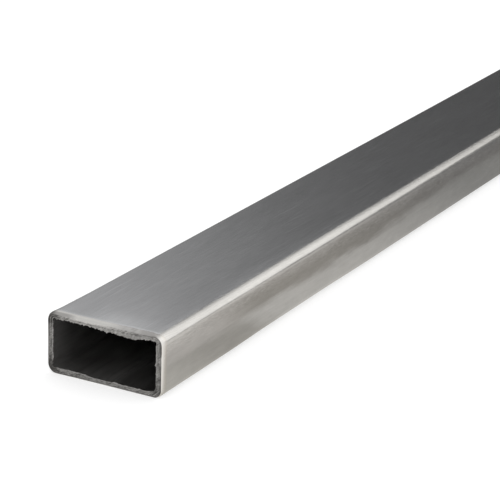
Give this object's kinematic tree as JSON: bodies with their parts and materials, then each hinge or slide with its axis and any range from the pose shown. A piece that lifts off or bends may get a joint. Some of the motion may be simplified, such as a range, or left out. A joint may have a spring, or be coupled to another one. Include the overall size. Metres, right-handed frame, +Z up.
{
  "type": "rectangular steel tube",
  "caption": "Straight stainless rectangular tube with rounded corners and sawn open ends, stock for frames, rails and brackets.",
  "frame": {"origin": "middle of the underside, halfway along the tube and halfway across its wide lower wall", "axes": "+X along the tube, +Y across its wide walls, +Z up through its short side"},
  "size_m": [1, 0.04, 0.02],
  "materials": {
    "brushed_stainless": "brushed along the length, dull inside, bare saw-cut ends"
  },
  "bodies": {
    "root": {"rectangular_tube": "brushed_stainless"}
  },
  "joints": []
}
